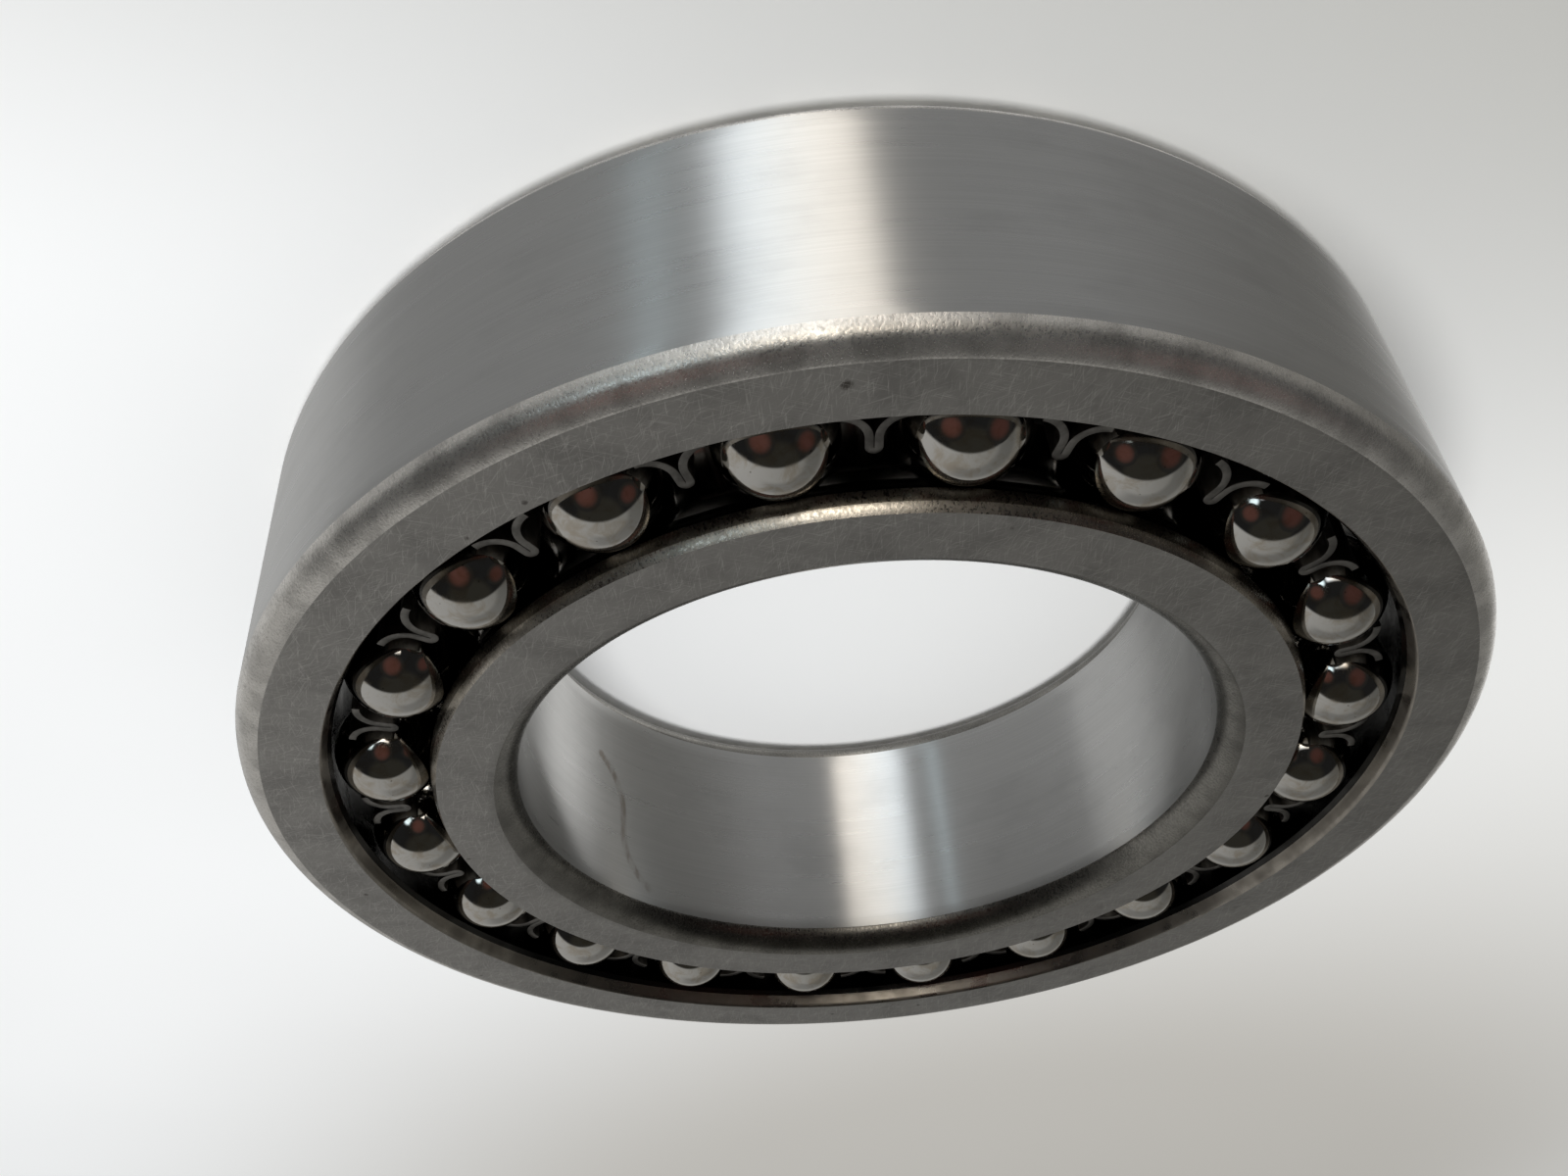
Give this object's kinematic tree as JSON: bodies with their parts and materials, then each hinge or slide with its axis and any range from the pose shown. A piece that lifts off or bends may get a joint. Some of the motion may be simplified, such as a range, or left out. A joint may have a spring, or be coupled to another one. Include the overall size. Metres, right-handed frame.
{
  "type": "self-aligning ball bearing",
  "caption": "Double-row self-aligning ball bearing with a spherical outer raceway, two staggered rows of steel balls in a pressed-steel cage and a grooved inner ring with a plain bore.",
  "frame": {"origin": "centre of the bearing, which is also the centre of the spherical raceway", "axes": "+Z along the bore's axis, out of the side face that the picture shows; +X through the first ball of that side's row"},
  "size_m": [0.13, 0.13, 0.031],
  "materials": {
    "ground_steel": "ground bearing steel, handled and lightly stained",
    "ball_steel": "polished bearing steel",
    "cage_steel": "dull pressed sheet steel"
  },
  "bodies": {
    "outer_ring": {"outer_ring": "ground_steel"},
    "pivot_balls": {"ball_a01": "ball_steel", "ball_a11": "ball_steel"},
    "cage": {"cage": "cage_steel"},
    "inner_ring": {"inner_ring": "ground_steel"},
    "ball_a02": {"ball_a02": "ball_steel"},
    "ball_a03": {"ball_a03": "ball_steel"},
    "ball_a04": {"ball_a04": "ball_steel"},
    "ball_a05": {"ball_a05": "ball_steel"},
    "ball_a06": {"ball_a06": "ball_steel"},
    "ball_a07": {"ball_a07": "ball_steel"},
    "ball_a08": {"ball_a08": "ball_steel"},
    "ball_a09": {"ball_a09": "ball_steel"},
    "ball_a10": {"ball_a10": "ball_steel"},
    "ball_a12": {"ball_a12": "ball_steel"},
    "ball_a13": {"ball_a13": "ball_steel"},
    "ball_a14": {"ball_a14": "ball_steel"},
    "ball_a15": {"ball_a15": "ball_steel"},
    "ball_a16": {"ball_a16": "ball_steel"},
    "ball_a17": {"ball_a17": "ball_steel"},
    "ball_a18": {"ball_a18": "ball_steel"},
    "ball_a19": {"ball_a19": "ball_steel"},
    "ball_a20": {"ball_a20": "ball_steel"},
    "ball_b01": {"ball_b01": "ball_steel"},
    "ball_b02": {"ball_b02": "ball_steel"},
    "ball_b03": {"ball_b03": "ball_steel"},
    "ball_b04": {"ball_b04": "ball_steel"},
    "ball_b05": {"ball_b05": "ball_steel"},
    "ball_b06": {"ball_b06": "ball_steel"},
    "ball_b07": {"ball_b07": "ball_steel"},
    "ball_b08": {"ball_b08": "ball_steel"},
    "ball_b09": {"ball_b09": "ball_steel"},
    "ball_b10": {"ball_b10": "ball_steel"},
    "ball_b11": {"ball_b11": "ball_steel"},
    "ball_b12": {"ball_b12": "ball_steel"},
    "ball_b13": {"ball_b13": "ball_steel"},
    "ball_b14": {"ball_b14": "ball_steel"},
    "ball_b15": {"ball_b15": "ball_steel"},
    "ball_b16": {"ball_b16": "ball_steel"},
    "ball_b17": {"ball_b17": "ball_steel"},
    "ball_b18": {"ball_b18": "ball_steel"},
    "ball_b19": {"ball_b19": "ball_steel"},
    "ball_b20": {"ball_b20": "ball_steel"}
  },
  "joints": [
    {"name": "cage_orbit", "type": "hinge", "parent": "outer_ring", "child": "pivot_balls", "pos_m": [0, 0, 0], "axis": [0, 0, 1], "continuous": true},
    {"name": "swivel", "type": "hinge", "parent": "pivot_balls", "child": "cage", "pos_m": [0, 0, 0], "axis": [1, 0, 0], "range_deg": [-2.5, 2.5]},
    {"name": "inner_spin", "type": "hinge", "parent": "cage", "child": "inner_ring", "pos_m": [0, 0, 0], "axis": [0, 0, 1], "continuous": true},
    {"name": "ball_a02_roll", "type": "hinge", "parent": "cage", "child": "ball_a02", "pos_m": [0.04839, 0.01572, 0.0098], "axis": [-0.18, -0.0585, 0.9819], "continuous": true},
    {"name": "ball_a03_roll", "type": "hinge", "parent": "cage", "child": "ball_a03", "pos_m": [0.04116, 0.0299, 0.0098], "axis": [-0.1531, -0.1112, 0.9819], "continuous": true},
    {"name": "ball_a04_roll", "type": "hinge", "parent": "cage", "child": "ball_a04", "pos_m": [0.0299, 0.04116, 0.0098], "axis": [-0.1112, -0.1531, 0.9819], "continuous": true},
    {"name": "ball_a05_roll", "type": "hinge", "parent": "cage", "child": "ball_a05", "pos_m": [0.01572, 0.04839, 0.0098], "axis": [-0.0585, -0.18, 0.9819], "continuous": true},
    {"name": "ball_a06_roll", "type": "hinge", "parent": "cage", "child": "ball_a06", "pos_m": [0, 0.05088, 0.0098], "axis": [0, -0.1892, 0.9819], "continuous": true},
    {"name": "ball_a07_roll", "type": "hinge", "parent": "cage", "child": "ball_a07", "pos_m": [-0.01572, 0.04839, 0.0098], "axis": [0.0585, -0.18, 0.9819], "continuous": true},
    {"name": "ball_a08_roll", "type": "hinge", "parent": "cage", "child": "ball_a08", "pos_m": [-0.0299, 0.04116, 0.0098], "axis": [0.1112, -0.1531, 0.9819], "continuous": true},
    {"name": "ball_a09_roll", "type": "hinge", "parent": "cage", "child": "ball_a09", "pos_m": [-0.04116, 0.0299, 0.0098], "axis": [0.1531, -0.1112, 0.9819], "continuous": true},
    {"name": "ball_a10_roll", "type": "hinge", "parent": "cage", "child": "ball_a10", "pos_m": [-0.04839, 0.01572, 0.0098], "axis": [0.18, -0.0585, 0.9819], "continuous": true},
    {"name": "ball_a12_roll", "type": "hinge", "parent": "cage", "child": "ball_a12", "pos_m": [-0.04839, -0.01572, 0.0098], "axis": [0.18, 0.0585, 0.9819], "continuous": true},
    {"name": "ball_a13_roll", "type": "hinge", "parent": "cage", "child": "ball_a13", "pos_m": [-0.04116, -0.0299, 0.0098], "axis": [0.1531, 0.1112, 0.9819], "continuous": true},
    {"name": "ball_a14_roll", "type": "hinge", "parent": "cage", "child": "ball_a14", "pos_m": [-0.0299, -0.04116, 0.0098], "axis": [0.1112, 0.1531, 0.9819], "continuous": true},
    {"name": "ball_a15_roll", "type": "hinge", "parent": "cage", "child": "ball_a15", "pos_m": [-0.01572, -0.04839, 0.0098], "axis": [0.0585, 0.18, 0.9819], "continuous": true},
    {"name": "ball_a16_roll", "type": "hinge", "parent": "cage", "child": "ball_a16", "pos_m": [0, -0.05088, 0.0098], "axis": [0, 0.1892, 0.9819], "continuous": true},
    {"name": "ball_a17_roll", "type": "hinge", "parent": "cage", "child": "ball_a17", "pos_m": [0.01572, -0.04839, 0.0098], "axis": [-0.0585, 0.18, 0.9819], "continuous": true},
    {"name": "ball_a18_roll", "type": "hinge", "parent": "cage", "child": "ball_a18", "pos_m": [0.0299, -0.04116, 0.0098], "axis": [-0.1112, 0.1531, 0.9819], "continuous": true},
    {"name": "ball_a19_roll", "type": "hinge", "parent": "cage", "child": "ball_a19", "pos_m": [0.04116, -0.0299, 0.0098], "axis": [-0.1531, 0.1112, 0.9819], "continuous": true},
    {"name": "ball_a20_roll", "type": "hinge", "parent": "cage", "child": "ball_a20", "pos_m": [0.04839, -0.01572, 0.0098], "axis": [-0.18, 0.0585, 0.9819], "continuous": true},
    {"name": "ball_b01_roll", "type": "hinge", "parent": "cage", "child": "ball_b01", "pos_m": [0.05025, -0.00796, -0.0098], "axis": [0.1869, -0.0296, 0.9819], "continuous": true},
    {"name": "ball_b02_roll", "type": "hinge", "parent": "cage", "child": "ball_b02", "pos_m": [0.05025, 0.00796, -0.0098], "axis": [0.1869, 0.0296, 0.9819], "continuous": true},
    {"name": "ball_b03_roll", "type": "hinge", "parent": "cage", "child": "ball_b03", "pos_m": [0.04533, 0.0231, -0.0098], "axis": [0.1686, 0.0859, 0.9819], "continuous": true},
    {"name": "ball_b04_roll", "type": "hinge", "parent": "cage", "child": "ball_b04", "pos_m": [0.03597, 0.03597, -0.0098], "axis": [0.1338, 0.1338, 0.9819], "continuous": true},
    {"name": "ball_b05_roll", "type": "hinge", "parent": "cage", "child": "ball_b05", "pos_m": [0.0231, 0.04533, -0.0098], "axis": [0.0859, 0.1686, 0.9819], "continuous": true},
    {"name": "ball_b06_roll", "type": "hinge", "parent": "cage", "child": "ball_b06", "pos_m": [0.00796, 0.05025, -0.0098], "axis": [0.0296, 0.1869, 0.9819], "continuous": true},
    {"name": "ball_b07_roll", "type": "hinge", "parent": "cage", "child": "ball_b07", "pos_m": [-0.00796, 0.05025, -0.0098], "axis": [-0.0296, 0.1869, 0.9819], "continuous": true},
    {"name": "ball_b08_roll", "type": "hinge", "parent": "cage", "child": "ball_b08", "pos_m": [-0.0231, 0.04533, -0.0098], "axis": [-0.0859, 0.1686, 0.9819], "continuous": true},
    {"name": "ball_b09_roll", "type": "hinge", "parent": "cage", "child": "ball_b09", "pos_m": [-0.03597, 0.03597, -0.0098], "axis": [-0.1338, 0.1338, 0.9819], "continuous": true},
    {"name": "ball_b10_roll", "type": "hinge", "parent": "cage", "child": "ball_b10", "pos_m": [-0.04533, 0.0231, -0.0098], "axis": [-0.1686, 0.0859, 0.9819], "continuous": true},
    {"name": "ball_b11_roll", "type": "hinge", "parent": "cage", "child": "ball_b11", "pos_m": [-0.05025, 0.00796, -0.0098], "axis": [-0.1869, 0.0296, 0.9819], "continuous": true},
    {"name": "ball_b12_roll", "type": "hinge", "parent": "cage", "child": "ball_b12", "pos_m": [-0.05025, -0.00796, -0.0098], "axis": [-0.1869, -0.0296, 0.9819], "continuous": true},
    {"name": "ball_b13_roll", "type": "hinge", "parent": "cage", "child": "ball_b13", "pos_m": [-0.04533, -0.0231, -0.0098], "axis": [-0.1686, -0.0859, 0.9819], "continuous": true},
    {"name": "ball_b14_roll", "type": "hinge", "parent": "cage", "child": "ball_b14", "pos_m": [-0.03597, -0.03597, -0.0098], "axis": [-0.1338, -0.1338, 0.9819], "continuous": true},
    {"name": "ball_b15_roll", "type": "hinge", "parent": "cage", "child": "ball_b15", "pos_m": [-0.0231, -0.04533, -0.0098], "axis": [-0.0859, -0.1686, 0.9819], "continuous": true},
    {"name": "ball_b16_roll", "type": "hinge", "parent": "cage", "child": "ball_b16", "pos_m": [-0.00796, -0.05025, -0.0098], "axis": [-0.0296, -0.1869, 0.9819], "continuous": true},
    {"name": "ball_b17_roll", "type": "hinge", "parent": "cage", "child": "ball_b17", "pos_m": [0.00796, -0.05025, -0.0098], "axis": [0.0296, -0.1869, 0.9819], "continuous": true},
    {"name": "ball_b18_roll", "type": "hinge", "parent": "cage", "child": "ball_b18", "pos_m": [0.0231, -0.04533, -0.0098], "axis": [0.0859, -0.1686, 0.9819], "continuous": true},
    {"name": "ball_b19_roll", "type": "hinge", "parent": "cage", "child": "ball_b19", "pos_m": [0.03597, -0.03597, -0.0098], "axis": [0.1338, -0.1338, 0.9819], "continuous": true},
    {"name": "ball_b20_roll", "type": "hinge", "parent": "cage", "child": "ball_b20", "pos_m": [0.04533, -0.0231, -0.0098], "axis": [0.1686, -0.0859, 0.9819], "continuous": true}
  ],
  "couplings": [
    {"joint": "cage_orbit", "follows": "inner_spin", "ratio": 0.8063},
    {"joint": "ball_a02_roll", "follows": "inner_spin", "ratio": -8.1746},
    {"joint": "ball_a03_roll", "follows": "inner_spin", "ratio": -8.1746},
    {"joint": "ball_a04_roll", "follows": "inner_spin", "ratio": -8.1746},
    {"joint": "ball_a05_roll", "follows": "inner_spin", "ratio": -8.1746},
    {"joint": "ball_a06_roll", "follows": "inner_spin", "ratio": -8.1746},
    {"joint": "ball_a07_roll", "follows": "inner_spin", "ratio": -8.1746},
    {"joint": "ball_a08_roll", "follows": "inner_spin", "ratio": -8.1746},
    {"joint": "ball_a09_roll", "follows": "inner_spin", "ratio": -8.1746},
    {"joint": "ball_a10_roll", "follows": "inner_spin", "ratio": -8.1746},
    {"joint": "ball_a12_roll", "follows": "inner_spin", "ratio": -8.1746},
    {"joint": "ball_a13_roll", "follows": "inner_spin", "ratio": -8.1746},
    {"joint": "ball_a14_roll", "follows": "inner_spin", "ratio": -8.1746},
    {"joint": "ball_a15_roll", "follows": "inner_spin", "ratio": -8.1746},
    {"joint": "ball_a16_roll", "follows": "inner_spin", "ratio": -8.1746},
    {"joint": "ball_a17_roll", "follows": "inner_spin", "ratio": -8.1746},
    {"joint": "ball_a18_roll", "follows": "inner_spin", "ratio": -8.1746},
    {"joint": "ball_a19_roll", "follows": "inner_spin", "ratio": -8.1746},
    {"joint": "ball_a20_roll", "follows": "inner_spin", "ratio": -8.1746},
    {"joint": "ball_b01_roll", "follows": "inner_spin", "ratio": -8.1746},
    {"joint": "ball_b02_roll", "follows": "inner_spin", "ratio": -8.1746},
    {"joint": "ball_b03_roll", "follows": "inner_spin", "ratio": -8.1746},
    {"joint": "ball_b04_roll", "follows": "inner_spin", "ratio": -8.1746},
    {"joint": "ball_b05_roll", "follows": "inner_spin", "ratio": -8.1746},
    {"joint": "ball_b06_roll", "follows": "inner_spin", "ratio": -8.1746},
    {"joint": "ball_b07_roll", "follows": "inner_spin", "ratio": -8.1746},
    {"joint": "ball_b08_roll", "follows": "inner_spin", "ratio": -8.1746},
    {"joint": "ball_b09_roll", "follows": "inner_spin", "ratio": -8.1746},
    {"joint": "ball_b10_roll", "follows": "inner_spin", "ratio": -8.1746},
    {"joint": "ball_b11_roll", "follows": "inner_spin", "ratio": -8.1746},
    {"joint": "ball_b12_roll", "follows": "inner_spin", "ratio": -8.1746},
    {"joint": "ball_b13_roll", "follows": "inner_spin", "ratio": -8.1746},
    {"joint": "ball_b14_roll", "follows": "inner_spin", "ratio": -8.1746},
    {"joint": "ball_b15_roll", "follows": "inner_spin", "ratio": -8.1746},
    {"joint": "ball_b16_roll", "follows": "inner_spin", "ratio": -8.1746},
    {"joint": "ball_b17_roll", "follows": "inner_spin", "ratio": -8.1746},
    {"joint": "ball_b18_roll", "follows": "inner_spin", "ratio": -8.1746},
    {"joint": "ball_b19_roll", "follows": "inner_spin", "ratio": -8.1746},
    {"joint": "ball_b20_roll", "follows": "inner_spin", "ratio": -8.1746}
  ]
}
